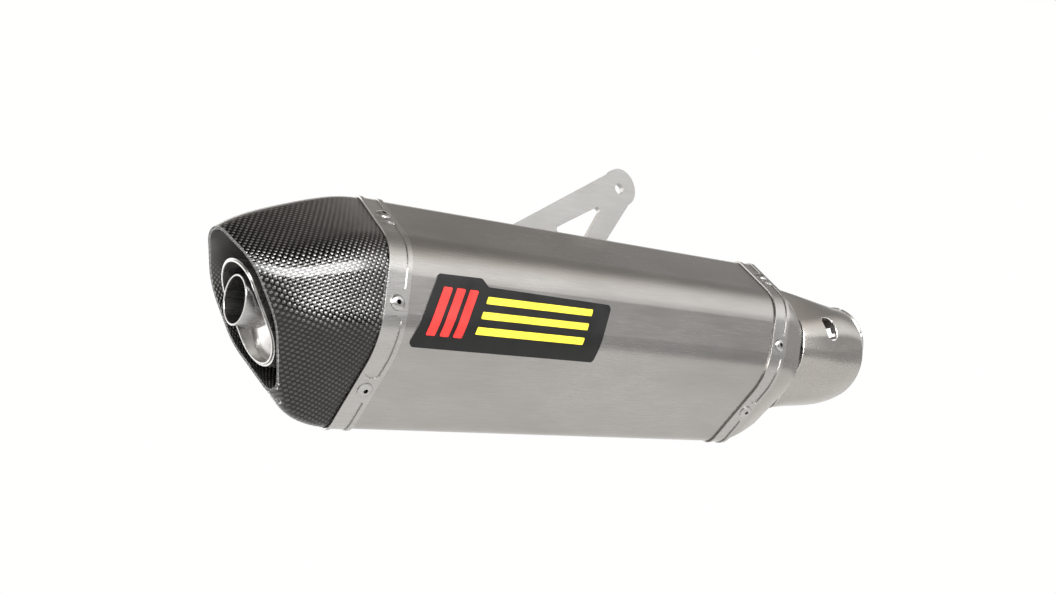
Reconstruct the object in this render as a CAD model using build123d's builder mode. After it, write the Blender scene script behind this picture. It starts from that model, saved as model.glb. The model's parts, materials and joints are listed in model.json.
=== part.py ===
from build123d import *
import os
from math import cos, radians, sin, tan

os.makedirs("parts", exist_ok=True)

# Racing exhaust silencer: six-sided sleeve, carbon end cap with a removable noise
# damper, pipe cover and clamped slip-on socket.  Millimetres, +Z up.
# Origin: centre of the socket's mouth.  +X leaves the socket, +Y is the bike's side.
# Stations along the silencer are counted forward from the rear strap's edge.

# ---- driving dimensions -----------------------------------------------------
REAR_X = -484.0          # rear strap's edge, seen from the socket's mouth
LINE_Z = -18.0           # silencer's centre line, below the socket's mouth

HALF_WIDE = 50.0         # section: half width across the two upright faces
SHOULDER = 28.6          # section: sharp corner between upright and slanted face
TIP = 75.0               # section: sharp top and bottom corners
SIDE_R = 38.5            # section: corner radius beside the upright faces
TIP_R = 9.2              # section: corner radius at top and bottom

REAR_LEAN = 9.53         # lean of the rear strap, top forward
FRONT_LEAN = 19.42       # lean of the front strap
FRONT_X = 338.3          # front strap's edge on the centre line
STRAP_W = 16.0
STRAP_T = 1.3
MARGIN = (2.5, 3.2)      # plain edges left beside the strap's sunk panels
PANEL_T = 0.8            # depth of the sunk panels
SLEEVE_T = 1.0
SKIRT_T = 1.95           # end cap and inlet cap tongues under the sleeve
PLATE_T = 1.5
FIT = 0.05               # air left between nested skins

RIVET_D = 4.8
RIVET_HEAD_D = 9.5
RIVET_HOLE_D = 3.0

MOUTH_LEAN = -21.75      # end cap's mouth, top backward
OUTLET_X = -63.2         # outlet tube's rim on the centre line
OUTLET_SIZE = (36.0, 60.0)
OUTLET_Z = -7.6
OUTLET_T = 1.0
DAMPER_D = 29.5
DAMPER_BORE = 26.9
DAMPER_Z = -1.0

PIPE_D = 53.0
PIPE_BORE = 50.4
PIPE_Z = 3.8             # inlet pipe's height over the centre line
SOCKET_TILT = 12.0       # the socket climbs by this much
SOCKET_BORE = 51.0
SOCKET_D = 53.4
SOCKET_L = 63.0
BEND_X = 417.0           # station of the bend in the pipe
CORE_TILT = -1.95        # the core runs down towards the outlet

BRACKET_Y = (28.0, 32.0)
BRACKET_HOLE = (268.4, 126.9)
BRACKET_HOLE_D = 8.6
BRACKET_TIP = (270.6, 128.6)


# ---- frames and outlines ----------------------------------------------------
side = Plane(origin=(REAR_X, 0, LINE_Z), x_dir=(1, 0, 0), z_dir=(0, -1, 0))
socket_dir = (cos(radians(SOCKET_TILT)), 0, sin(radians(SOCKET_TILT)))
socket_side = Plane(origin=(0, 0, 0), x_dir=socket_dir, z_dir=(0, -1, 0))
socket_axis = Axis((0, 0, 0), socket_dir)


def across(x, lean=0.0, z=0.0):
    """Plane across the silencer, facing forward; lean tips its top forward."""
    a = radians(lean)
    return Plane(
        origin=(REAR_X + x, 0, LINE_Z + z), x_dir=(0, 1, 0), z_dir=(cos(a), 0, -sin(a))
    )


def hexagon(wide, up, low, top, bottom, side_r, top_r, bottom_r, grow=0.0):
    """Six-sided outline with rounded corners, grown or shrunk evenly."""
    with BuildSketch() as outline:
        Polygon((0, top), (-wide, up), (-wide, low), (0, bottom), (wide, low), (wide, up), align=None)
        fillet(outline.vertices().filter_by(lambda v: abs(v.X) > 1), side_r)
        tips = outline.vertices().filter_by(lambda v: abs(v.X) < 0.01).sort_by(Axis.Y)
        fillet(tips[-1], top_r)
        tips = outline.vertices().filter_by(lambda v: abs(v.X) < 0.01).sort_by(Axis.Y)
        fillet(tips[0], bottom_r)
        if grow:
            offset(amount=grow)
    return outline.sketch


def section(grow=0.0):
    """The silencer's section."""
    return hexagon(HALF_WIDE, SHOULDER, -SHOULDER, TIP, -TIP, SIDE_R, TIP_R, TIP_R, grow)


def leaning(station, grow=0.0):
    """A loft station: where it is, how it leans, its outline measured upright."""
    x, lean, wide, up, low, top, bottom, side_r, top_r, bottom_r = station
    k = 1 / cos(radians(lean))
    return hexagon(wide, up * k, low * k, top * k, bottom * k, side_r, top_r, bottom_r, grow)


def cut(x0, lean0, x1, lean1, reach=95.0):
    """Side view of everything between two leaning cuts."""
    t0, t1 = tan(radians(lean0)), tan(radians(lean1))
    return Polygon(
        (x0 - reach * t0, -reach), (x1 - reach * t1, -reach),
        (x1 + reach * t1, reach), (x0 + reach * t0, reach), align=None,
    )


# ---- rivets: one in the middle of each face, square to it -------------------
slope = (TIP - SHOULDER) / HALF_WIDE
normal_y = slope / (1 + slope ** 2) ** 0.5
normal_z = 1 / (1 + slope ** 2) ** 0.5
RIVET_SEATS = (
    (22.5, TIP - 22.5 * slope, normal_y, normal_z),
    (HALF_WIDE, -6.0, 1.0, 0.0),
    (25.0, -TIP + 25.0 * slope, normal_y, -normal_z),
)


def rivet_places(x, lean):
    """Six places on the section, z pointing out of the face."""
    places = []
    for way in (-1, 1):
        for y, z, ny, nz in RIVET_SEATS:
            seat = (REAR_X + x + z * tan(radians(lean)), way * y, LINE_Z + z)
            places.append(Plane(origin=seat, x_dir=(1, 0, 0), z_dir=(0, way * ny, nz)).location)
    return places


rear_places = rivet_places(STRAP_W / 2 + 0.3, REAR_LEAN)
front_places = rivet_places(STRAP_W / 2 + 0.3 + FRONT_X, FRONT_LEAN)

# Tubular blind rivet seen from its axis: head on the strap, set tail inside.
with BuildPart() as strap_rivet:
    with BuildSketch(Plane.XZ):
        with BuildLine():
            Polyline(
                (RIVET_HOLE_D / 2, -8.6), (RIVET_D / 2 + 0.7, -8.6), (RIVET_D / 2 + 0.9, -6.4),
                (RIVET_D / 2 + 0.5, -4.35), (RIVET_D / 2, -4.3), (RIVET_D / 2, STRAP_T + 0.06),
                (RIVET_HEAD_D / 2, STRAP_T + 0.06), (RIVET_HEAD_D / 2, STRAP_T + 0.5),
            )
            ThreePointArc(
                (RIVET_HEAD_D / 2, STRAP_T + 0.5), (3.3, STRAP_T + 1.45), (RIVET_HOLE_D / 2, STRAP_T + 1.75)
            )
            Line((RIVET_HOLE_D / 2, STRAP_T + 1.75), (RIVET_HOLE_D / 2, -8.6))
        make_face()
    revolve(axis=Axis.Z)

# ---- outer sleeve -----------------------------------------------------------
with BuildPart() as outer_sleeve:
    with BuildSketch(across(-30)):
        add(section())
        add(section(-SLEEVE_T), mode=Mode.SUBTRACT)
    extrude(amount=440)
    with BuildSketch(side):
        cut(3.4, REAR_LEAN, FRONT_X + 12.6, FRONT_LEAN)
    extrude(amount=60, both=True, mode=Mode.INTERSECT)
    with Locations(*rear_places, *front_places):
        Cylinder(RIVET_D / 2 + FIT, 20, mode=Mode.SUBTRACT)

# ---- straps: a plain hoop with sunk panels between the rivets ---------------
ISLAND = (11.0, 3.3)     # half length at the edges, how far the panel tips reach in


def sunk_panels(x, lean, places):
    """What is taken out of a strap: a hoop, less an island round each rivet."""
    left, right = x + MARGIN[0], x + STRAP_W - MARGIN[1]
    half, tip_in = ISLAND
    wide = STRAP_W
    with BuildPart() as panels:
        with BuildSketch(across(x - 40)):
            add(section(STRAP_T + 2))
            add(section(STRAP_T - PANEL_T), mode=Mode.SUBTRACT)
        extrude(amount=100)
        with BuildSketch(side):
            cut(left, lean, right, lean)
        extrude(amount=60, both=True, mode=Mode.INTERSECT)
        for place in places:
            out = Plane(place)
            run = Vector(tan(radians(lean)), 0, 1) if abs(out.z_dir.Z) < 0.01 else None
            up = out.z_dir.cross(Vector(1, 0, 0))
            if run is None:
                up = up * (1 if up.Z > 0 else -1)
                run = Vector(tan(radians(lean)) * up.Z, up.Y, up.Z)
            island = Plane(origin=out.origin, x_dir=run.cross(out.z_dir), z_dir=out.z_dir)
            with BuildSketch(island):
                Polygon(
                    (-wide / 2, -half), (0, -half + tip_in), (wide / 2, -half),
                    (wide / 2, half), (0, half - tip_in), (-wide / 2, half), align=None,
                )
            extrude(amount=8, both=True, mode=Mode.SUBTRACT)
    return panels.part


with BuildPart() as rear_strap:
    with BuildSketch(across(-30)):
        add(section(STRAP_T))
        add(section(FIT), mode=Mode.SUBTRACT)
    extrude(amount=90)
    with BuildSketch(side):
        cut(0, REAR_LEAN, STRAP_W, REAR_LEAN)
    extrude(amount=60, both=True, mode=Mode.INTERSECT)
    add(sunk_panels(0, REAR_LEAN, rear_places), mode=Mode.SUBTRACT)
    with Locations(*rear_places):
        Cylinder(RIVET_D / 2 + FIT, 20, mode=Mode.SUBTRACT)

with BuildPart() as front_strap:
    with BuildSketch(across(FRONT_X - 50)):
        add(section(STRAP_T))
        add(section(FIT), mode=Mode.SUBTRACT)
    extrude(amount=120)
    with BuildSketch(side):
        cut(FRONT_X, FRONT_LEAN, FRONT_X + STRAP_W, FRONT_LEAN)
    extrude(amount=60, both=True, mode=Mode.INTERSECT)
    add(sunk_panels(FRONT_X, FRONT_LEAN, front_places), mode=Mode.SUBTRACT)
    with Locations(*front_places):
        Cylinder(RIVET_D / 2 + FIT, 20, mode=Mode.SUBTRACT)

with BuildPart() as rear_strap_rivets:
    with Locations(*rear_places):
        add(strap_rivet.part)

with BuildPart() as front_strap_rivets:
    with Locations(*front_places):
        add(strap_rivet.part)

# ---- end cap: carbon shell drawn in to a small mouth, tongue under the sleeve
# station, lean, half width, shoulder up, shoulder low, top, bottom, radii
CAP_STATIONS = (
    (3.0, REAR_LEAN, 49.85, 28.5, -28.5, 74.8, -74.8, 38.5, 9.2, 9.2),
    (-4.0, 7.0, 49.75, 28.3, -28.5, 74.5, -74.8, 38.5, 9.2, 9.2),
    (-22.5, 2.9, 47.8, 24.5, -27.0, 70.0, -72.8, 37.0, 10.0, 9.8),
    (-43.8, -5.4, 41.8, 17.5, -22.5, 61.6, -67.2, 34.0, 12.0, 11.0),
    (-66.4, MOUTH_LEAN, 26.6, 15.0, -19.5, 48.6, -61.6, 34.0, 14.4, 12.0),
)
CAP_T = 2.0

with BuildPart() as end_cap:
    for station in CAP_STATIONS:
        with BuildSketch(across(station[0], station[1])):
            add(leaning(station))
    loft()
    for station in CAP_STATIONS:
        with BuildSketch(across(station[0], station[1])):
            add(leaning(station, -CAP_T))
    loft(mode=Mode.SUBTRACT)
    with BuildSketch(across(-30)):
        add(section(-SLEEVE_T - FIT))
        add(section(-SLEEVE_T - FIT - SKIRT_T), mode=Mode.SUBTRACT)
    tongue = extrude(amount=90, mode=Mode.PRIVATE)
    with BuildSketch(side):
        cut(-2.5, REAR_LEAN, 19.0, REAR_LEAN)
    tongue_cut = extrude(amount=60, both=True, mode=Mode.PRIVATE)
    add(tongue & tongue_cut)
    with BuildSketch(side):    # the mouth is scooped: its sides stand a little forward
        with BuildLine():
            ThreePointArc((-88.6, 55.7), (-62.7, -3.9), (-40.5, -65.0))
            Polyline((-40.5, -65.0), (-110.0, -65.0), (-110.0, 55.7), (-88.6, 55.7))
        make_face()
    extrude(amount=60, both=True, mode=Mode.SUBTRACT)
    with Locations(*rear_places):
        Cylinder(RIVET_D / 2 + FIT, 20, mode=Mode.SUBTRACT)

# ---- rear end plate: flanged steel dish riveted under the end cap's tongue --
flange_out = -SLEEVE_T - 2 * FIT - SKIRT_T
with BuildPart() as rear_end_plate:
    with BuildSketch(across(-30)):
        add(section(flange_out))
    extrude(amount=90)
    with BuildSketch(side):
        cut(4.0, REAR_LEAN, 20.0, REAR_LEAN)
    extrude(amount=60, both=True, mode=Mode.INTERSECT)
    with BuildSketch(across(-30)):
        add(section(flange_out - 1.1))
    dish = extrude(amount=90, mode=Mode.PRIVATE)
    with BuildSketch(side):
        cut(0.0, REAR_LEAN, 20.0 - PLATE_T, REAR_LEAN)
    dish_cut = extrude(amount=60, both=True, mode=Mode.PRIVATE)
    add(dish & dish_cut, mode=Mode.SUBTRACT)
    with BuildSketch(across(-30, 0, OUTLET_Z)):
        SlotOverall(OUTLET_SIZE[1] + 2 * FIT, OUTLET_SIZE[0] + 2 * FIT, rotation=90)
    extrude(amount=90, mode=Mode.SUBTRACT)
    with Locations(*rear_places):
        Cylinder(RIVET_D / 2 + FIT, 20, mode=Mode.SUBTRACT)

# ---- outlet tube: oval, cut parallel to the end cap's mouth ------------------
SCREW_X = -50.0          # damper screw's station
SCREW_TOP = OUTLET_Z + OUTLET_SIZE[1] / 2

with BuildPart() as outlet_tube:
    with BuildSketch(across(-100, 0, OUTLET_Z)):
        SlotOverall(OUTLET_SIZE[1], OUTLET_SIZE[0], rotation=90)
        SlotOverall(OUTLET_SIZE[1] - 2 * OUTLET_T, OUTLET_SIZE[0] - 2 * OUTLET_T, rotation=90, mode=Mode.SUBTRACT)
    extrude(amount=140)
    with BuildSketch(side):
        cut(OUTLET_X, MOUTH_LEAN, 21.5, REAR_LEAN)
    extrude(amount=60, both=True, mode=Mode.INTERSECT)
    with Locations((REAR_X + SCREW_X, 0, LINE_Z + SCREW_TOP)):
        Cylinder(2.6, 8, mode=Mode.SUBTRACT)

with BuildPart() as screw_boss:
    with Locations((REAR_X + SCREW_X, 0, LINE_Z + SCREW_TOP - 0.6)):
        Cylinder(5.5, 4.6, align=(Align.CENTER, Align.CENTER, Align.MIN))
        Cylinder(2.6, 12, mode=Mode.SUBTRACT)
    chamfer(screw_boss.edges().group_by(Axis.Z)[-1].filter_by(GeomType.CIRCLE).sort_by(SortBy.RADIUS)[-1], 0.5)
    with BuildSketch(across(-100, 0, OUTLET_Z)):
        SlotOverall(OUTLET_SIZE[1] + 0.04, OUTLET_SIZE[0] + 0.04, rotation=90)
    extrude(amount=140, mode=Mode.SUBTRACT)

with BuildPart() as outlet_weld:
    with BuildSketch(across(12.0, REAR_LEAN, OUTLET_Z)):
        SlotOverall(OUTLET_SIZE[1] + 5, OUTLET_SIZE[0] + 5, rotation=90)
    extrude(amount=6.4)
    with BuildSketch(across(-30, 0, OUTLET_Z)):
        SlotOverall(OUTLET_SIZE[1] + 0.1, OUTLET_SIZE[0] + 0.1, rotation=90)
    extrude(amount=90, mode=Mode.SUBTRACT)
    with BuildSketch(side):
        cut(16.2, REAR_LEAN, 18.4, REAR_LEAN)
    extrude(amount=60, both=True, mode=Mode.INTERSECT)

# ---- noise damper: oval collar, blanking plates and a round tube, pulls out backward
COLLAR_OUT = (OUTLET_SIZE[0] - 2 * OUTLET_T - 0.16, OUTLET_SIZE[1] - 2 * OUTLET_T - 0.16)
COLLAR_T = 1.0
COLLAR_IN = (COLLAR_OUT[0] - 2 * COLLAR_T, COLLAR_OUT[1] - 2 * COLLAR_T)

with BuildPart() as damper_collar:
    with BuildSketch(across(-100, 0, OUTLET_Z)):
        SlotOverall(COLLAR_OUT[1], COLLAR_OUT[0], rotation=90)
        SlotOverall(COLLAR_IN[1], COLLAR_IN[0], rotation=90, mode=Mode.SUBTRACT)
    extrude(amount=140)
    with BuildSketch(side):
        cut(OUTLET_X - 0.9, MOUTH_LEAN, -30.0, 0)
    extrude(amount=60, both=True, mode=Mode.INTERSECT)

with BuildPart() as damper_plate:
    with BuildSketch(across(-34.0, 0, OUTLET_Z)):
        SlotOverall(COLLAR_IN[1] - 0.1, COLLAR_IN[0] - 0.1, rotation=90)
        with Locations((0, DAMPER_Z - OUTLET_Z)):
            Circle(DAMPER_D / 2 + FIT, mode=Mode.SUBTRACT)
    extrude(amount=1.2)

DISH_Z = -24.0
DISH_R = 40.0
mouth_tan = tan(radians(-MOUTH_LEAN))
dish_top = OUTLET_X - DISH_Z * mouth_tan + 3.0
dish_centre = (
    REAR_X + dish_top + DISH_R * cos(radians(MOUTH_LEAN)), 0, LINE_Z + DISH_Z - DISH_R * sin(radians(MOUTH_LEAN))
)
with BuildPart() as damper_dish:
    with BuildSketch(across(-90, 0, OUTLET_Z)):
        SlotOverall(COLLAR_IN[1] - 0.1, COLLAR_IN[0] - 0.1, rotation=90)
        with Locations((0, DAMPER_Z - OUTLET_Z)):
            Circle(DAMPER_D / 2 + FIT, mode=Mode.SUBTRACT)
        with Locations((0, 40)):
            Rectangle(80, 80 + 2 * (DAMPER_Z - OUTLET_Z) - 20, mode=Mode.SUBTRACT)
    extrude(amount=80)
    with Locations(dish_centre):
        Sphere(DISH_R, mode=Mode.INTERSECT)
        Sphere(DISH_R - 1.2, mode=Mode.SUBTRACT)
    with BuildSketch(side):
        cut(-80, MOUTH_LEAN, -44, MOUTH_LEAN)
    extrude(amount=60, both=True, mode=Mode.INTERSECT)

with BuildPart() as damper_tube:
    with BuildSketch(across(-68.5, 0, DAMPER_Z)):
        Circle(DAMPER_D / 2)
        Circle(DAMPER_BORE / 2, mode=Mode.SUBTRACT)
    extrude(amount=108.5)
    rim = damper_tube.edges().group_by(Axis.X)[0]
    fillet(rim, 0.6)
    for ring in range(3):
        for turn in range(6):
            a = 60 * turn + 30 * (ring % 2)
            place = Plane(
                origin=(REAR_X + 8 + 10 * ring, 0, LINE_Z + DAMPER_Z), x_dir=(1, 0, 0),
                z_dir=(0, cos(radians(a)), sin(radians(a))),
            )
            with BuildSketch(place):
                Circle(2.2)
            extrude(amount=20, mode=Mode.SUBTRACT)

with BuildPart() as damper_screw:
    with Locations((REAR_X + SCREW_X, 0, LINE_Z + SCREW_TOP - OUTLET_T + 0.12)):
        Cylinder(2.5, 5.2, align=(Align.CENTER, Align.CENTER, Align.MIN))
    with Locations((REAR_X + SCREW_X, 0, LINE_Z + SCREW_TOP + 4.1)):
        Cylinder(4.5, 3.4, align=(Align.CENTER, Align.CENTER, Align.MIN))
    fillet(damper_screw.edges().group_by(Axis.Z)[-1], 1.4)
    with BuildSketch(Plane((REAR_X + SCREW_X, 0, LINE_Z + SCREW_TOP + 7.5))):
        RegularPolygon(1.75, 6)
    extrude(amount=-2.2, mode=Mode.SUBTRACT)

# ---- inlet cap: short band drawn in towards the pipe, closed by a flat wall --
INLET_STATIONS = (
    (FRONT_X + 13.0, FRONT_LEAN, 49.6, 28.0, -28.4, 74.3, -74.6, 38.0, 9.2, 9.2),
    (FRONT_X + 20.0, FRONT_LEAN, 49.3, 26.5, -28.6, 73.4, -73.8, 37.0, 11.0, 10.0),
    (FRONT_X + 30.0, FRONT_LEAN, 47.9, 21.0, -29.0, 69.5, -70.4, 34.0, 16.0, 12.0),
    (FRONT_X + 40.5, FRONT_LEAN, 44.8, 12.5, -29.5, 62.0, -64.5, 30.0, 22.0, 14.0),
)
INLET_T = 1.5
pipe_centre = (REAR_X + BEND_X, 0, LINE_Z + PIPE_Z)

with BuildPart() as inlet_cap:
    for station in INLET_STATIONS:
        with BuildSketch(across(station[0], station[1])):
            add(leaning(station))
    loft()
    for station in INLET_STATIONS:
        with BuildSketch(across(station[0] - INLET_T, station[1])):
            add(leaning(station, -INLET_T))
    loft(mode=Mode.SUBTRACT)
    with BuildSketch(across(FRONT_X - 60)):
        add(section(-SLEEVE_T - FIT))
        add(section(-SLEEVE_T - FIT - SKIRT_T), mode=Mode.SUBTRACT)
    tongue = extrude(amount=150, mode=Mode.PRIVATE)
    with BuildSketch(side):
        cut(FRONT_X - 2.0, FRONT_LEAN, FRONT_X + 17.0, FRONT_LEAN)
    tongue_cut = extrude(amount=60, both=True, mode=Mode.PRIVATE)
    add(tongue & tongue_cut)
    with BuildSketch(across(FRONT_X, 0, PIPE_Z)):
        Circle(PIPE_D / 2 + FIT)
    extrude(amount=80, mode=Mode.SUBTRACT)
    with Locations(*front_places):
        Cylinder(RIVET_D / 2 + FIT, 20, mode=Mode.SUBTRACT)

# ---- inlet pipe, its weld, and the slotted socket ---------------------------
socket_back = tuple(-SOCKET_L * n for n in socket_dir)

with BuildPart() as inlet_pipe:
    with BuildLine() as pipe_line:
        FilletPolyline((REAR_X + 350.0, 0, LINE_Z + PIPE_Z), pipe_centre, socket_back, radius=40)
    with BuildSketch(across(350.0, 0, PIPE_Z)):
        Circle(PIPE_D / 2)
        Circle(PIPE_BORE / 2, mode=Mode.SUBTRACT)
    sweep()

with BuildPart() as inlet_weld:
    with BuildSketch(across(FRONT_X + 40.5, 0, PIPE_Z)):
        Circle(PIPE_D / 2 + 2.6)
        Circle(PIPE_D / 2 + FIT, mode=Mode.SUBTRACT)
    extrude(amount=30, both=True)
    with BuildSketch(side):
        cut(FRONT_X + 40.6, FRONT_LEAN, FRONT_X + 43.0, FRONT_LEAN)
    extrude(amount=60, both=True, mode=Mode.INTERSECT)

with BuildPart() as inlet_socket:
    with BuildSketch(socket_side):
        with BuildLine():
            Polyline(
                (0, SOCKET_BORE / 2), (-SOCKET_L + 0.05, SOCKET_BORE / 2), (-SOCKET_L + 0.05, SOCKET_D / 2),
                (-4.2, SOCKET_D / 2), (-3.4, SOCKET_D / 2 + 1.0),
            )
            ThreePointArc((-3.4, SOCKET_D / 2 + 1.0), (-1.7, SOCKET_D / 2 + 1.7), (0, SOCKET_D / 2 + 1.0))
            Line((0, SOCKET_D / 2 + 1.0), (0, SOCKET_BORE / 2))
        make_face()
    revolve(axis=socket_axis)
    for turn in (0, 60, 120):
        a = radians(turn)
        across_slot = Plane(
            origin=tuple(-28.0 * n for n in socket_dir),
            x_dir=socket_dir,
            z_dir=(-sin(a) * socket_dir[2], cos(a), sin(a) * socket_dir[0]),
        )
        with BuildSketch(across_slot):
            SlotOverall(62.0, 2.2)
        extrude(amount=40, both=True, mode=Mode.SUBTRACT)

with BuildPart() as socket_weld:
    with BuildSketch(socket_side):
        with BuildLine():
            Line((-SOCKET_L - 2.2, SOCKET_D / 2 + 0.05), (-SOCKET_L + 1.1, SOCKET_D / 2 + 0.05))
            ThreePointArc(
                (-SOCKET_L + 1.1, SOCKET_D / 2 + 0.05), (-SOCKET_L - 0.5, SOCKET_D / 2 + 1.2),
                (-SOCKET_L - 2.2, SOCKET_D / 2 + 0.05),
            )
        make_face()
    revolve(axis=socket_axis)

# ---- clamp: band with two ears on the near side, bolt standing upright ------
CLAMP_AT = -54.5         # middle of the band along the socket
CLAMP_W = 14.0
CLAMP_D = SOCKET_D + 2.2
EAR_GAP = 6.0
EAR_T = 2.5
EAR_OUT = 35.4
BOLT_Y = -31.6
clamp_plane = Plane(
    origin=tuple(CLAMP_AT * n for n in socket_dir), x_dir=(0, 1, 0), z_dir=socket_dir
)
clamp_up = (-socket_dir[2], 0, socket_dir[0])
bolt_plane = Plane(
    origin=(CLAMP_AT * socket_dir[0], BOLT_Y, CLAMP_AT * socket_dir[2]), x_dir=(0, 1, 0), z_dir=clamp_up
)
ear_top = EAR_GAP / 2 + EAR_T

with BuildPart() as clamp_band:
    with BuildSketch(clamp_plane):
        Circle(CLAMP_D / 2)
        with Locations((-(EAR_OUT + 24) / 2, 0)):
            Rectangle(EAR_OUT - 24, 2 * ear_top)
        Circle(SOCKET_D / 2 + FIT, mode=Mode.SUBTRACT)
        with Locations((-32, 0)):
            Rectangle(18, EAR_GAP, mode=Mode.SUBTRACT)
    extrude(amount=CLAMP_W / 2, both=True)
    with Locations(bolt_plane.location):
        Cylinder(2.6, 30, mode=Mode.SUBTRACT)

with BuildPart() as clamp_bolt:
    with BuildSketch(bolt_plane.offset(ear_top + 0.05)):
        Circle(4.25)
    extrude(amount=5)
    with BuildSketch(bolt_plane.offset(ear_top + 5.05)):
        RegularPolygon(2.3, 6)
    extrude(amount=-2.6, mode=Mode.SUBTRACT)
    with BuildSketch(bolt_plane.offset(ear_top + 0.06)):
        Circle(2.5)
    extrude(amount=-2 * ear_top - 6.0)

with BuildPart() as clamp_washer:
    with BuildSketch(bolt_plane.offset(-ear_top - 0.05)):
        Circle(4.1)
        Circle(2.6, mode=Mode.SUBTRACT)
    extrude(amount=-1.0)

with BuildPart() as clamp_nut:
    with BuildSketch(bolt_plane.offset(-ear_top - 1.1)):
        RegularPolygon(4.6, 6)
        Circle(2.55, mode=Mode.SUBTRACT)
    extrude(amount=-4.0)

# ---- pipe cover: thin shell, six-sided at the back and round at the front ---
COVER_STATIONS = (
    (396.0, 10.0, 33.8, 16.0, -11.0, 63.8, -48.0, 30.0, 12.0, 8.0, 0.0),
    (418.0, 7.0, 37.2, 16.0, -16.0, 61.5, -50.5, 30.0, 20.0, 20.0, 2.0),
    (443.0, 3.0, 38.4, 19.5, -20.5, 54.0, -50.5, 32.0, 30.0, 28.0, 4.0),
    (466.8, 0.0, 38.4, 22.1, -22.1, 44.3, -44.3, 37.4, 37.4, 37.4, 5.6),
)
COVER_T = 1.2
ACCESS = (429.5, -34.6, 16.6)    # the oval hole over the clamp bolt's head
access_out = Vector(0, ACCESS[1], ACCESS[2] - 3.5).normalized()
access = Plane(
    origin=(REAR_X + ACCESS[0], ACCESS[1], LINE_Z + ACCESS[2]), x_dir=(1, 0, 0), z_dir=access_out
)

with BuildPart() as pipe_cover:
    for station in COVER_STATIONS:
        with BuildSketch(across(station[0], station[1], station[10])):
            add(leaning(station[:10]))
    loft()
    for station in COVER_STATIONS:
        with BuildSketch(across(station[0], station[1], station[10])):
            add(leaning(station[:10], -COVER_T))
    loft(mode=Mode.SUBTRACT)
    with BuildSketch(access):
        SlotOverall(21.0, 12.0, rotation=90)
    extrude(amount=8, both=True, mode=Mode.SUBTRACT)

# ---- tabs that carry the cover: foot on the inlet cap's wall, leg inside ----
TAB_SPOTS = ((-23.9, -19.1, 223.8), (23.9, -19.1, -43.8), (0.0, 49.0, 90))
TAB_T = 1.5
TAB_FOOT = 3.5           # stops short of the weld round the pipe
with BuildPart() as cover_tabs:
    for y, z, turn in TAB_SPOTS:
        a = radians(turn)
        root = FRONT_X + 40.55 + z * tan(radians(FRONT_LEAN))
        leg = Plane(origin=(REAR_X + root, y, LINE_Z + z), x_dir=(1, 0, 0), z_dir=(0, cos(a), sin(a)))
        with BuildSketch(leg):
            with Locations((13, 0)):
                Rectangle(32, 11)
        extrude(amount=-TAB_T)
        with BuildSketch(leg):
            with Locations((0, 0)):
                Rectangle(8, 11)
        extrude(amount=-TAB_FOOT)
    with BuildSketch(side):
        cut(FRONT_X + 40.55, FRONT_LEAN, FRONT_X + 64.0, FRONT_LEAN)
    extrude(amount=60, both=True, mode=Mode.INTERSECT)

# ---- perforated core and the packing round it -------------------------------
core_start = (REAR_X + 348.0, 0, LINE_Z + PIPE_Z)
core_dir = (-cos(radians(CORE_TILT)), 0, sin(radians(CORE_TILT)))
core_plane = Plane(origin=core_start, x_dir=(0, 1, 0), z_dir=core_dir)
CORE_T = 1.2
with BuildPart() as perforated_core:
    with BuildSketch(core_plane):
        Circle(PIPE_D / 2)
        Circle(PIPE_D / 2 - CORE_T, mode=Mode.SUBTRACT)
    extrude(amount=322)
    for ring in range(9):
        for turn in range(6):
            a = 30 * turn + 15 * (ring % 2)
            spot = core_plane.offset(24 + 34 * ring)
            place = Plane(
                origin=spot.origin, x_dir=core_dir,
                z_dir=spot.x_dir * cos(radians(a)) + spot.y_dir * sin(radians(a)),
            )
            with BuildSketch(place):
                Circle(3.0)
            extrude(amount=40, both=True, mode=Mode.SUBTRACT)

with BuildPart() as packing_wool:
    with BuildSketch(across(-10)):
        add(section(-5.2))
    extrude(amount=400)
    with BuildSketch(core_plane.offset(-40)):
        Circle(PIPE_D / 2 + 0.3)
    extrude(amount=460, mode=Mode.SUBTRACT)
    with BuildSketch(side):
        cut(27.0, REAR_LEAN, FRONT_X - 3.0, FRONT_LEAN)
    extrude(amount=60, both=True, mode=Mode.INTERSECT)

# ---- mounting bracket on the bike's side ------------------------------------
with BuildPart() as mounting_bracket:
    with BuildSketch(side) as plate:
        Polygon((223.4, 50.0), (281.5, 120.3), (262.5, 140.2), (102.5, 50.3), align=None)
        with Locations(BRACKET_TIP):
            Circle(15.0)
        with BuildSketch(mode=Mode.PRIVATE) as window:
            Polygon((251.8, 112.6), (199.5, 85.5), (217.8, 66.2), align=None)
            fillet(window.vertices(), 2.5)
        add(window.sketch, mode=Mode.SUBTRACT)
    extrude(amount=-BRACKET_Y[1])
    with BuildSketch(side):
        Rectangle(1400, 400)
    extrude(amount=-BRACKET_Y[0], mode=Mode.SUBTRACT)
    with BuildSketch(across(102.5)):
        Polygon(
            (12.0, TIP - 12.0 * slope + 0.1), (34.0, TIP - 34.0 * slope + 0.1),
            (34.0, TIP - 34.0 * slope + 3.6), (12.0, TIP - 12.0 * slope + 3.6), align=None,
        )
    extrude(amount=121)
    hole_at = (REAR_X + BRACKET_HOLE[0], 30, LINE_Z + BRACKET_HOLE[1])
    with Locations(Plane(origin=hole_at, z_dir=(0, -1, 0)).location):
        Cylinder(BRACKET_HOLE_D / 2, 20, mode=Mode.SUBTRACT)

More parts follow.
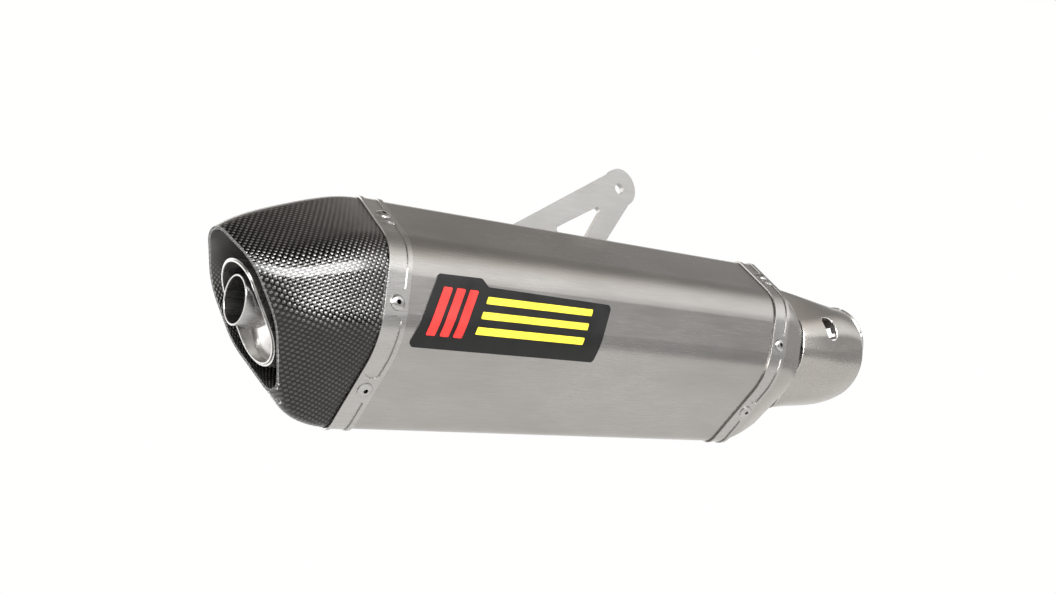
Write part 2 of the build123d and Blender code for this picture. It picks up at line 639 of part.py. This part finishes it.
foot_places = [
    Plane(
        origin=(REAR_X + x, 20.0, LINE_Z + TIP - 20.0 * slope), x_dir=(1, 0, 0), z_dir=(0, normal_y, normal_z)
    ).location
    for x in (112.0, 144.5, 181.0, 213.5)
]
with BuildPart() as bracket_rivets:
    with Locations(*foot_places):
        Cylinder(2.4, 5.0, align=(Align.CENTER, Align.CENTER, Align.MIN))
        Cylinder(2.4, 2.6, align=(Align.CENTER, Align.CENTER, Align.MAX))
    with Locations(*[place * Location((0, 0, 2.75)) for place in foot_places]):
        Cylinder(4.75, 1.6, align=(Align.CENTER, Align.CENTER, Align.MIN))

with BuildPart(mode=Mode.PRIVATE) as foot_holes:
    with Locations(*foot_places):
        Cylinder(2.45, 20)
mounting_bracket.part = mounting_bracket.part - foot_holes.part
outer_sleeve.part = outer_sleeve.part - foot_holes.part

# ---- badge on the near face: plain plate with bars, nothing written on it ---
def badge_skin(points, low, high, corner):
    """A patch lying on the section's near side."""
    with BuildPart() as skin:
        with BuildSketch(across(0)):
            add(section(high))
            add(section(low), mode=Mode.SUBTRACT)
        extrude(amount=200)
        with BuildSketch(side) as patch:
            for outline in points:
                Polygon(*outline, align=None)
            fillet(patch.vertices(), corner)
        extrude(amount=60, mode=Mode.INTERSECT)
    return skin.part


def slanted(x, wide, z_low, z_high, rake=0.46):
    """Four corners of a bar raked like the badge's front edge."""
    return (
        (x + z_low * rake, z_low), (x + wide + z_low * rake, z_low),
        (x + wide + z_high * rake, z_high), (x + z_high * rake, z_high),
    )


plate_corners = [(16.4, -30), (159, -30), (176, 8.5), (74, 10.2), (69.5, 15.2), (37.4, 14.8)]
badge_plate = badge_skin([plate_corners], 0.04, 0.6, 2.6)
badge_bars = badge_skin([slanted(37.5 + 9.6 * n, 6.4, -23, 7) for n in range(3)], 0.64, 0.9, 0.8)
badge_stripes = badge_skin([slanted(71.5, 85.5, z, z + 4.6) for z in (-20, -10.3, -0.6)], 0.64, 0.9, 0.6)

# ---- export -----------------------------------------------------------------
PIECES = {
    "outer_sleeve": outer_sleeve.part,
    "rear_strap": rear_strap.part,
    "front_strap": front_strap.part,
    "rear_strap_rivets": rear_strap_rivets.part,
    "front_strap_rivets": front_strap_rivets.part,
    "end_cap": end_cap.part,
    "rear_end_plate": rear_end_plate.part,
    "outlet_tube": outlet_tube.part,
    "outlet_weld": outlet_weld.part,
    "screw_boss": screw_boss.part,
    "damper_collar": damper_collar.part,
    "damper_plate": damper_plate.part,
    "damper_dish": damper_dish.part,
    "damper_tube": damper_tube.part,
    "damper_screw": damper_screw.part,
    "inlet_cap": inlet_cap.part,
    "inlet_pipe": inlet_pipe.part,
    "inlet_weld": inlet_weld.part,
    "inlet_socket": inlet_socket.part,
    "socket_weld": socket_weld.part,
    "clamp_band": clamp_band.part,
    "clamp_bolt": clamp_bolt.part,
    "clamp_washer": clamp_washer.part,
    "clamp_nut": clamp_nut.part,
    "pipe_cover": pipe_cover.part,
    "cover_tabs": cover_tabs.part,
    "perforated_core": perforated_core.part,
    "packing_wool": packing_wool.part,
    "mounting_bracket": mounting_bracket.part,
    "bracket_rivets": bracket_rivets.part,
    "badge_plate": badge_plate,
    "badge_bars": badge_bars,
    "badge_stripes": badge_stripes,
}
for name, piece in PIECES.items():
    piece.label = name
    export_step(piece, f"parts/{name}.step")
    box = piece.bounding_box()
    print(name, len(piece.solids()), round(piece.volume), [round(v, 1) for v in (*box.min, *box.max)])
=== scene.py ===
import bpy
import json
from math import cos, degrees, pi, radians, sin, sqrt
from mathutils import Matrix, Vector


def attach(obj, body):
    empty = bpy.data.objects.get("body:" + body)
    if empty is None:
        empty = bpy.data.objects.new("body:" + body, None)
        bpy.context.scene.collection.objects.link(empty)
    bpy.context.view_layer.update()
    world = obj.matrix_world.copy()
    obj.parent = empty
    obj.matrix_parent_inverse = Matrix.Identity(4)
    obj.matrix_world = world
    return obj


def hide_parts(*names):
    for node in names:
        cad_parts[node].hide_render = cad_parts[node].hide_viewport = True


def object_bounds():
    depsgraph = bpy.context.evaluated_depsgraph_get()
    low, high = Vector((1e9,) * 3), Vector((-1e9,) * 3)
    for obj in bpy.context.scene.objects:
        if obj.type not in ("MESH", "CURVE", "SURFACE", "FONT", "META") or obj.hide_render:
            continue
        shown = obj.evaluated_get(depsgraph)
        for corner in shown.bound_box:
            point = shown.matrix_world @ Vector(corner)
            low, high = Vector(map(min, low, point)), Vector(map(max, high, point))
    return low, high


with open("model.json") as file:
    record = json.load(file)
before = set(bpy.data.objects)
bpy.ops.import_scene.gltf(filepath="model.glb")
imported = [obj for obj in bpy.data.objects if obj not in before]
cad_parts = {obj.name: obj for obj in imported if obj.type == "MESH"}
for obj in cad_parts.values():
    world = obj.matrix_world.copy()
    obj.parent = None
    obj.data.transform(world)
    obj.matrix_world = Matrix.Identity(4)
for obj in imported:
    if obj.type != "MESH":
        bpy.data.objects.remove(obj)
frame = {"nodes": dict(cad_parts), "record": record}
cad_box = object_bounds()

nodes = frame["nodes"]

# ---- Studio -----------------------------------------------------------------
# A pale room: a plain floor below the silencer, a white backdrop beyond it, a light bank
# along the wall, one strong window behind the viewer, and a dim ceiling over the tops.
FLOOR_Z = cad_box[0][2] - 0.20
FLOOR_ACROSS = 3.0
FLOOR_MIDDLE_X = -0.27
FLOOR_GLOW = 0.12
WINDOW = 20.0            # the window's strength against the white backdrop's
scene = bpy.context.scene
scene.view_settings.view_transform = "Standard"
scene.view_settings.look = "None"

bpy.ops.object.select_all(action="DESELECT")
bpy.ops.mesh.primitive_circle_add(
    vertices=96, radius=FLOOR_ACROSS / 2, fill_type="NGON", location=(FLOOR_MIDDLE_X, 0, FLOOR_Z)
)
floor = bpy.context.object
floor.name = "floor"


class Wire:
    """A socket in a material's node tree. Arithmetic on wires adds Math nodes."""

    def __init__(self, tree, socket):
        self.tree = tree
        self.socket = socket

    def node(self, kind, settings=(), out=0, **sockets):
        """Any other node: its type, its settings, then values or wires for its sockets."""
        made = self.tree.nodes.new("ShaderNode" + kind)
        for name, value in dict(settings).items():
            setattr(made, name, value)
        for name, value in sockets.items():
            key = int(name[1:]) if name[1:].isdigit() else name.replace("_", " ")
            if isinstance(value, Wire):
                self.tree.links.new(value.socket, made.inputs[key])
            else:
                made.inputs[key].default_value = value
        return Wire(self.tree, made.outputs[out])

    def math(self, operation, other=0.0):
        return self.node("Math", {"operation": operation}, s0=self, s1=other)

    def __add__(self, other):
        return self.math("ADD", other)

    def __sub__(self, other):
        return self.math("SUBTRACT", other)

    def __rsub__(self, other):
        return self.node("Math", {"operation": "SUBTRACT"}, s0=other, s1=self)

    def __mul__(self, other):
        return self.math("MULTIPLY", other)

    __radd__ = __add__
    __rmul__ = __mul__

    def ease(self, low, high):
        """0 at low, 1 at high, with a soft start and end; low may be the larger."""
        return self.node("MapRange", {"interpolation_type": "SMOOTHSTEP"}, Value=self,
                         From_Min=low, From_Max=high)

    def steps(self, *stops):
        """Straight lines between (place, value) stops."""
        total = stops[0][1]
        for (at, value), (end, reached) in zip(stops, stops[1:]):
            total = self.band(at, end, 0.0, reached - value) + total
        return total

    def band(self, low, high, to_low=0.0, to_high=1.0):
        """This value moved from one range to another, and held inside it."""
        return self.node("MapRange", {"clamp": True}, Value=self, From_Min=low, From_Max=high,
                         To_Min=to_low, To_Max=to_high)


class Finish:
    """A material: its shader, its object coordinates and what feeds it."""

    def __init__(self, name, **fixed):
        self.material = bpy.data.materials.new(name)
        self.material.use_nodes = True
        tree = self.material.node_tree
        self.shader = tree.nodes["Principled BSDF"]
        for key, value in fixed.items():
            self.shader.inputs[key.replace("_", " ")].default_value = value
        self.start = Wire(tree, None)
        self.place = self.start.node("TexCoord", out=3)

    def noise(self, size, stretch=(1, 1, 1), detail=3.0, lift=0.0):
        """Noise with cells about so many metres across, stretched along the axes and moved."""
        at = self.start.node("Mapping", Vector=self.place, Location=(lift, lift, lift),
                             Scale=tuple(1 / (size * s) for s in stretch))
        return self.start.node("TexNoise", Vector=at, Scale=1.0, Detail=detail, Roughness=0.5)

    def mix(self, factor, first, second):
        return self.start.node("Mix", {"data_type": "RGBA"}, out=2, s0=factor, s6=first, s7=second)

    def feed(self, **inputs):
        for key, value in inputs.items():
            socket = self.shader.inputs[key.replace("_", " ")]
            self.start.tree.links.new(value.socket, socket)

    def bump(self, height, distance, strength):
        return self.start.node("Bump", Height=height, Distance=distance, Strength=strength)

    def put_on(self, *names):
        for name in names:
            mesh = nodes[name].data
            mesh.materials.clear()
            mesh.materials.append(self.material)


def rgb(*shade):
    return (*shade, 1.0)


floor_paint = Finish("pale_floor", Roughness=0.85)
speckle = floor_paint.noise(0.02, detail=2)
floor_paint.feed(
    Base_Color=floor_paint.mix(speckle, rgb(0.66, 0.66, 0.655), rgb(0.70, 0.70, 0.695)),
    Emission_Color=floor_paint.mix(speckle, rgb(0.97, 0.97, 0.965), rgb(1.0, 1.0, 0.995)),
)
floor_paint.shader.inputs["Emission Strength"].default_value = FLOOR_GLOW
floor.data.materials.append(floor_paint.material)

sky = bpy.data.worlds.new("studio_sky")
scene.world = sky
sky.use_nodes = True
air = Wire(sky.node_tree, None)
toward = air.node("TexCoord", out=0)
rise = air.node("SeparateXYZ", out=2, Vector=toward)
north = air.node("SeparateXYZ", out=0, Vector=toward)
turn = air.node("SeparateXYZ", out=1, Vector=toward).math("ARCTAN2", north) * degrees(1)
lift = rise.math("ARCSINE") * degrees(1)
# Beside the silencer: grey wall low down, a wide light bank over it, dim ceiling above.
wall = lift.steps(
    (-90, 0.95), (-60, 1.12), (-50, 0.97), (-40, 0.85), (-30, 0.74), (-20, 0.61), (-8, 0.55),
    (4, 0.55), (13, 0.60), (20, 0.60), (30, 0.42), (55, 0.34), (90, 0.25),
)
bank = lift.ease(13, 20) * lift.ease(60, 36) * turn.ease(-84, -66) * turn.ease(4, -30)
beside = wall + bank * 1.15
# Behind the viewer: dark, with one strong window that the lacquer picks up.
gloom = lift.steps((-90, 0.55), (-45, 0.45), (-28, 0.16), (-20, 0.10), (50, 0.10), (70, 0.14), (90, 0.2))
middle = (turn + 95.0).math("MINIMUM", 0.0) * 0.30 + 27.0
off = (lift - middle).math("ABSOLUTE")
window = off.ease(9.5, 8) * turn.ease(-152, -118) * turn.ease(-58, -82)
behind = gloom + window * WINDOW
# Beyond the silencer: white up to the ceiling.
beyond = lift.steps((-90, 0.9), (-20, 1.0), (45, 1.0), (60, 0.35), (90, 0.2))
beyond = beyond + turn.ease(58, 84) * lift.ease(-24, -8) * lift.ease(52, 36) * 1.3
side = turn.ease(-62, -74) * turn.ease(-164, -150)
far = (turn.ease(32, 52) + turn.ease(-150, -164)).math("MINIMUM", 1.0)
glow = beside + side * (behind - beside)
glow = glow + far * (beyond - glow)
look = Vector((0.62318, 0.74984, 0.22223))
facing = air.node("VectorMath", {"operation": "DOT_PRODUCT"}, out=1, s0=toward, s1=tuple(look))
glow = glow + facing.ease(0.868, 0.888) * (1.0 - glow)
tint = air.node("Mix", {"data_type": "RGBA"}, out=2, s0=lift.ease(25, 60),
                s6=(1.0, 1.0, 0.995, 1.0), s7=(1.0, 0.93, 0.86, 1.0))
backdrop = sky.node_tree.nodes["Background"]
sky.node_tree.links.new(tint.socket, backdrop.inputs["Color"])
sky.node_tree.links.new(glow.socket, backdrop.inputs["Strength"])

# The camera stands behind and beside the silencer, lower than it, and looks up.
LENS = 40.93             # millimetres, as the film's width
FILM_WIDTH = 36.0
STAND_AT = Vector((-0.84567, -0.61148, -0.17715))
camera_data = bpy.data.cameras.new("camera")
camera_data.lens, camera_data.sensor_width = LENS, FILM_WIDTH
camera_data.clip_start = 0.01
camera = bpy.data.objects.new("camera", camera_data)
scene.collection.objects.link(camera)
right = Vector((0.77598, -0.62825, -0.05618))
up = Vector((-0.09749, -0.20745, 0.97338))
stand = Matrix((right, up, -look)).transposed().to_4x4()
stand.translation = STAND_AT
camera.matrix_world = stand
scene.camera = camera

# ---- Outer sleeve -----------------------------------------------------------
# Titanium sheet folded to six sides, blasted to a satin and closed by the two straps;
# handling leaves faint cloudy patches and fine lines along its length.
def satin(name, dark, light, rough):
    """Blasted metal: fine lines and pits, and cloudy patches between two shades."""
    metal = Finish(name, Metallic=1.0)
    lines = metal.noise(0.0003, (60, 1, 1), detail=4)
    pits = metal.noise(0.00024, detail=2, lift=3.1)
    cloud = metal.noise(0.035, (2.2, 1, 1), detail=4, lift=7.7)
    mottle = lines * 0.4 + pits * 0.2 + cloud * 0.4
    metal.feed(
        Base_Color=metal.mix(mottle.band(0.38, 0.62), rgb(*dark), rgb(*light)),
        Roughness=(cloud * 0.5 + lines * 0.5).band(0.3, 0.7, rough - 0.04, rough + 0.06),
        Normal=metal.bump(lines * 0.5 + pits * 0.5, 0.000008, 0.5),
    )
    return metal


SAME_PLACE = 0.000002     # corners closer than this are one corner
SAME_FACE = radians(0.4)  # faces that meet flatter than this are one face
SHARP = radians(32)       # edges sharper than this are rounded
CREASE = radians(34)      # and those still sharper than this stay crisp


def softened(node, name, width, finish, edge_finish=None):
    """The piece with its sharp edges rounded to a width, in place of the plain one."""
    bpy.ops.object.select_all(action="DESELECT")
    piece = nodes[node].copy()
    piece.data = nodes[node].data.copy()
    piece.name = piece.data.name = name
    piece.parent = None
    for key in list(piece.keys()):
        del piece[key]
    scene.collection.objects.link(piece)
    bpy.context.view_layer.objects.active = piece
    piece.select_set(True)
    bpy.ops.object.mode_set(mode="EDIT")
    bpy.ops.mesh.select_all(action="SELECT")
    bpy.ops.mesh.remove_doubles(threshold=SAME_PLACE)
    bpy.ops.mesh.dissolve_limited(angle_limit=SAME_FACE)
    bpy.ops.object.mode_set(mode="OBJECT")
    finishes = [finish, edge_finish] if edge_finish else [finish]
    piece.data.materials.clear()
    for held in finishes:
        piece.data.materials.append(held.material)
    if width:
        edge = piece.modifiers.new("rounded_edges", "BEVEL")
        edge.width, edge.segments = width, 2
        edge.limit_method, edge.angle_limit = "ANGLE", SHARP
        edge.material = 1 if edge_finish else -1
        bpy.ops.object.modifier_apply(modifier=edge.name)
    bpy.ops.object.shade_smooth_by_angle(angle=CREASE)
    flat = piece.modifiers.new("flat_faces", "WEIGHTED_NORMAL")
    flat.keep_sharp = True
    bpy.ops.object.modifier_apply(modifier=flat.name)
    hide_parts(node)
    bodies = frame["record"]["behaviour"]["bodies"]
    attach(piece, next(body for body, held in bodies.items() if node in held))
    return piece


satin("satin_titanium", (0.315, 0.302, 0.288), (0.385, 0.373, 0.36), 0.24).put_on("outer_sleeve")

# ---- Straps -----------------------------------------------------------------
# Two titanium hoops over the sleeve's ends, pressed with sunk panels between the rivets
# that hold them, with their edges rolled over by a fraction of a millimetre.
STRAP_EDGE = 0.00035
strap_metal = satin("strap_titanium", (0.37, 0.362, 0.35), (0.45, 0.442, 0.43), 0.27)
softened("rear_strap", "rear_hoop", STRAP_EDGE, strap_metal)
softened("front_strap", "front_hoop", STRAP_EDGE, strap_metal)

# ---- Inlet cap and pipe cover -----------------------------------------------
# Spun titanium shells in front of the sleeve. The cover stands on three tabs, hides the
# clamped joint, and has an oval hole over the clamp bolt; its cut edges carry a painted highlight.
SHELL_EDGE = 0.0003
COVER_EDGE = 0.0004
FOOT_EDGE = 0.0002
cover_metal = satin("cover_titanium", (0.33, 0.312, 0.294), (0.40, 0.382, 0.362), 0.25)
# Painted highlight: a lighter metal on the cover's rounded edges.
cover_edge_highlight = satin("cover_edge_highlight", (0.72, 0.715, 0.70), (0.92, 0.915, 0.90), 0.22)
softened("inlet_cap", "inlet_shell", SHELL_EDGE, cover_metal)
softened("pipe_cover", "cover_shell", COVER_EDGE, cover_metal, edge_finish=cover_edge_highlight)
softened("cover_tabs", "cover_feet", FOOT_EDGE, strap_metal)

# ---- Hanger bracket ---------------------------------------------------------
# Titanium plate riveted to the sleeve's inner side, with a triangle cut out to save
# weight and a bolt hole in its tip.
BRACKET_EDGE = 0.0004
bracket_metal = satin("bracket_titanium", (0.34, 0.333, 0.322), (0.44, 0.432, 0.42), 0.3)
softened("mounting_bracket", "hanger_bracket", BRACKET_EDGE, bracket_metal)

# ---- Outlet and noise damper ------------------------------------------------
# Polished oval steel tube with the noise damper pushed into it: an oval collar, a dished
# blank and a plain drawn pipe, held by one screw. The end plate behind is black with soot.
TUBE_EDGE = 0.0002
NO_EDGE = 0.0            # the drawn pipe is cut off square


def bright(name, shade, rough, metallic=1.0):
    """Polished metal, dulled in patches and finely scratched."""
    metal = Finish(name, Metallic=metallic)
    wear = metal.noise(0.006, detail=4)
    lines = metal.noise(0.0004, lift=2.2)
    metal.feed(
        Base_Color=metal.mix(wear.band(0.3, 0.7), rgb(*[c * 0.86 for c in shade]), rgb(*shade)),
        Roughness=wear.band(0.3, 0.7, rough, rough + 0.10),
        Normal=metal.bump(lines, 0.000004, 0.4),
    )
    return metal


outlet_metal = bright("polished_outlet", (0.60, 0.59, 0.575), 0.24)
softened("outlet_tube", "outlet_oval", TUBE_EDGE, outlet_metal)
softened("damper_collar", "damper_oval", TUBE_EDGE, outlet_metal)
softened("damper_dish", "damper_blank", TUBE_EDGE, outlet_metal)
pipe_metal = satin("plain_steel", (0.36, 0.355, 0.35), (0.47, 0.465, 0.46), 0.25)
softened("damper_tube", "damper_pipe", NO_EDGE, pipe_metal)
pipe_metal.put_on("screw_boss", "damper_plate")
satin("sooted_steel", (0.02, 0.019, 0.018), (0.07, 0.067, 0.063), 0.42).put_on("rear_end_plate")

# ---- Inlet pipe, socket and clamp -------------------------------------------
# Drawn steel pipe welded through the inlet cap and on to the perforated core, ending in a
# slotted socket that a bright band clamp closes on the motorcycle's link pipe.
CLAMP_EDGE = 0.0003
pipe_metal.put_on("inlet_pipe", "perforated_core")
clamp_steel = bright("clamp_steel", (0.95, 0.945, 0.93), 0.3, 0.35)
socket_steel = satin("socket_steel", (0.50, 0.495, 0.485), (0.66, 0.655, 0.645), 0.3)
softened("inlet_socket", "slotted_socket", TUBE_EDGE, socket_steel)
softened("clamp_band", "clamp_hoop", CLAMP_EDGE, clamp_steel)

# ---- Rivets, screws and welds -----------------------------------------------
# Blind rivets with bright domed heads, plated screws, and weld beads left as they cooled.
# The rivets hold the straps and the bracket; the screws hold the damper and the clamp.
rivet_steel = bright("polished_rivet", (0.47, 0.465, 0.455), 0.22)
rivet_steel.put_on("rear_strap_rivets", "front_strap_rivets", "bracket_rivets")
fastener_steel = bright("fastener_steel", (0.95, 0.95, 0.94), 0.25, 0.4)
fastener_steel.put_on("clamp_bolt", "clamp_nut", "clamp_washer", "damper_screw")
weld_metal = satin("weld_metal", (0.25, 0.22, 0.20), (0.50, 0.46, 0.42), 0.36)
weld_metal.put_on("outlet_weld", "inlet_weld", "socket_weld")

# ---- End cap ----------------------------------------------------------------
# Carbon shell laid up from plain-woven cloth under clear lacquer, with its mouth scooped
# back. The cloth is laid on aslant on each side and meets in a seam along the ridges.
TOW = 0.00185            # one thread's width
LAID = radians(-20)      # how far the threads are turned from the silencer's length
LINE_Z = -0.018          # the silencer's centre line
HALF_WIDE = 0.050        # the section's half width,
SHOULDER = 0.0286        # half the height of its upright side,
HALF_TALL = 0.075        # and its half height at the ridges
CAP_EDGE = 0.0005
carbon = Finish("woven_carbon", Metallic=1.0, Coat_Weight=1.0, Coat_Roughness=0.035, Coat_IOR=1.36)
cap = softened("end_cap", "carbon_cap", CAP_EDGE, carbon)


def along_section(y, z):
    """How far up the side a point lies, measured along the section through it."""
    side, shoulder, tip = HALF_WIDE, SHOULDER, HALF_TALL
    y, z = abs(y), z - LINE_Z
    steep = (tip - shoulder) / side
    if abs(z) * side > shoulder * y:
        shrink = (abs(z) + steep * y) / tip
        run = shoulder + sqrt(1 + steep ** 2) * (side - y / shrink)
    else:
        shrink = y / side
        run = abs(z) / shrink
    return run * shrink * (1 if z > 0 else -1)


cloth = cap.data.uv_layers.new(name="cloth")
cap.data.uv_layers.active = cloth
for loop in cap.data.loops:
    place = cap.data.vertices[loop.vertex_index].co
    run, climb = place.x / TOW, along_section(place.y, place.z) / TOW
    cloth.data[loop.index].uv = (
        run * cos(LAID) - climb * sin(LAID), run * sin(LAID) + climb * cos(LAID)
    )


def weave(finish):
    """Where the cloth's knuckles catch the light, and the cloth's height."""
    lay = finish.start.node("UVMap", {"uv_map": "cloth"})
    warp_at = finish.start.node("SeparateXYZ", out=0, Vector=lay)
    weft_at = finish.start.node("SeparateXYZ", out=1, Vector=lay)
    warp_bow = (warp_at.math("FRACT") * pi).math("SINE")
    weft_bow = (weft_at.math("FRACT") * pi).math("SINE")
    crossing = (warp_at.math("FLOOR") + weft_at.math("FLOOR")) * 0.5
    on_top = crossing.math("FRACT") * 2.0
    knuckle = warp_bow * weft_bow
    fibre = finish.noise(0.0007, detail=3)
    uneven = finish.noise(0.014, detail=3, lift=1.7)
    glint = on_top * knuckle.ease(0.03, 0.42) * uneven.band(0.3, 0.7, 0.75, 1.2)
    glint = glint * fibre.band(0.3, 0.7, 0.8, 1.15)
    return glint, on_top * knuckle + (1.0 - on_top) * (knuckle * 0.7)


glint, height = weave(carbon)
facing_up = carbon.start.node("SeparateXYZ", out=2, Vector=carbon.start.node("TexCoord", out=1))
# Painted shade: faces turned downward get darker threads and less coat, so the cap reads darker
# underneath.
painted_shade_below = facing_up.ease(0.02, -0.45)
sheen = carbon.noise(0.02, (1.5, 1, 1), detail=3, lift=4.4).band(0.35, 0.65, 0.7, 1.3)
thread = carbon.mix(painted_shade_below, rgb(0.21, 0.207, 0.201), rgb(0.085, 0.083, 0.08))
carbon.feed(
    Base_Color=carbon.mix(glint * sheen, rgb(0.026, 0.0257, 0.025), thread),
    Roughness=glint.band(0, 1, 0.12, 0.38),
    Coat_Weight=painted_shade_below.band(0, 1, 1.0, 0.55),
    Normal=carbon.bump(height, 0.00022, 0.8),
)

# Inside the mouth the shell is painted a lighter plain grey up high, standing in for the light on the
# inner wall there, and shows bare cloth low down.
lining = Finish("cap_lining", Roughness=0.36, Coat_Weight=0.5, Coat_Roughness=0.1)
lining_glint, lining_height = weave(lining)
smear = lining.noise(0.02, (3, 1, 1), detail=4)
high = (lining.start.node("SeparateXYZ", out=2, Vector=lining.place) - LINE_Z).ease(0.004, 0.03)
bare_cloth = lining.mix(lining_glint, rgb(0.004, 0.004, 0.004), rgb(0.75, 0.74, 0.72))
# Painted light: the lining is a lighter grey higher up inside the mouth.
painted_light_high = lining.mix(smear, rgb(0.10, 0.098, 0.095), rgb(0.30, 0.295, 0.288))
lining.feed(
    Base_Color=lining.mix(high, bare_cloth, painted_light_high),
    Normal=lining.bump(lining_height, 0.0001, 0.4),
)
cap.data.materials.append(lining.material)
for face in cap.data.polygons:
    inward = Vector((0, face.center.y, face.center.z - LINE_Z))
    if face.normal.dot(inward) < 0 and face.normal.x > -0.8:
        face.material_index = 1

# Along the mouth's cut edge the rounded corners are painted a lighter resin colour: a painted highlight.
CAP_END_X = -0.5         # the mouth lies behind this
HIGHLIGHT_REACH = 0.0009          # how far the painted highlight strip reaches from the cut edge
# Painted highlight: lighter colour on the faces next to the mouth's cut edge.
rim_highlight_paint = Finish("rim_painted_highlight", Roughness=0.3, Coat_Weight=0.6)
highlight_mottle = rim_highlight_paint.noise(0.004, detail=3)
rim_highlight_paint.feed(Base_Color=rim_highlight_paint.mix(highlight_mottle, rgb(0.34, 0.335, 0.32), rgb(0.62, 0.61, 0.59)))
cap.data.materials.append(rim_highlight_paint.material)
mouth_faces = Vector((-0.929, 0, -0.371))
on_rim = {
    face.index for face in cap.data.polygons
    if face.normal.dot(mouth_faces) > 0.985 and face.center.x < CAP_END_X
}
rim_points = {point for index in on_rim for point in cap.data.polygons[index].vertices}
rim_spots = [cap.data.vertices[point].co for point in rim_points]
for face in cap.data.polygons:
    if face.index in on_rim or not rim_points & set(face.vertices):
        continue
    corners = [cap.data.vertices[point].co for point in face.vertices]
    if max(min((corner - spot).length for spot in rim_spots) for corner in corners) < HIGHLIGHT_REACH:
        face.material_index = 2

# ---- Badge ------------------------------------------------------------------
# Thin black plate glued to the sleeve's outer side, with three slanted red bars and three
# yellow stripes raised a little above it.
def lacquer(name, shade, rough):
    """Baked paint, a little uneven in shade and gloss."""
    paint = Finish(name, Roughness=rough)
    paint.shader.inputs["Specular IOR Level"].default_value = 0.3
    patch = paint.noise(0.012, detail=4)
    grit = paint.noise(0.0006, detail=2, lift=5.5)
    thin, thick = rgb(*[part * 0.8 for part in shade]), rgb(*[part * 1.15 for part in shade])
    paint.feed(
        Base_Color=paint.mix(patch.band(0.3, 0.7), thin, thick),
        Roughness=(patch * 0.6 + grit * 0.4).band(0.3, 0.7, rough - 0.07, rough + 0.1),
        Normal=paint.bump(grit, 0.00001, 0.3),
    )
    return paint


lacquer("badge_black", (0.006, 0.006, 0.006), 0.35).put_on("badge_plate")
lacquer("badge_red", (0.72, 0.035, 0.03), 0.4).put_on("badge_bars")
lacquer("badge_yellow", (0.80, 0.66, 0.05), 0.4).put_on("badge_stripes")

# ---- Packing ----------------------------------------------------------------
# Long-strand glass wool wound round the perforated core and held by the sleeve; it is out
# of sight until the end cap is off.
wool = Finish("glass_wool", Roughness=0.9)
strands = wool.noise(0.0012, (8, 1, 1), detail=5)
tufts = wool.noise(0.012, detail=3, lift=2.6)
wool.feed(
    Base_Color=wool.mix(strands * 0.6 + tufts * 0.4, rgb(0.50, 0.47, 0.38), rgb(0.85, 0.82, 0.72)),
    Normal=wool.bump(strands, 0.0006, 0.8),
)
wool.put_on("packing_wool")
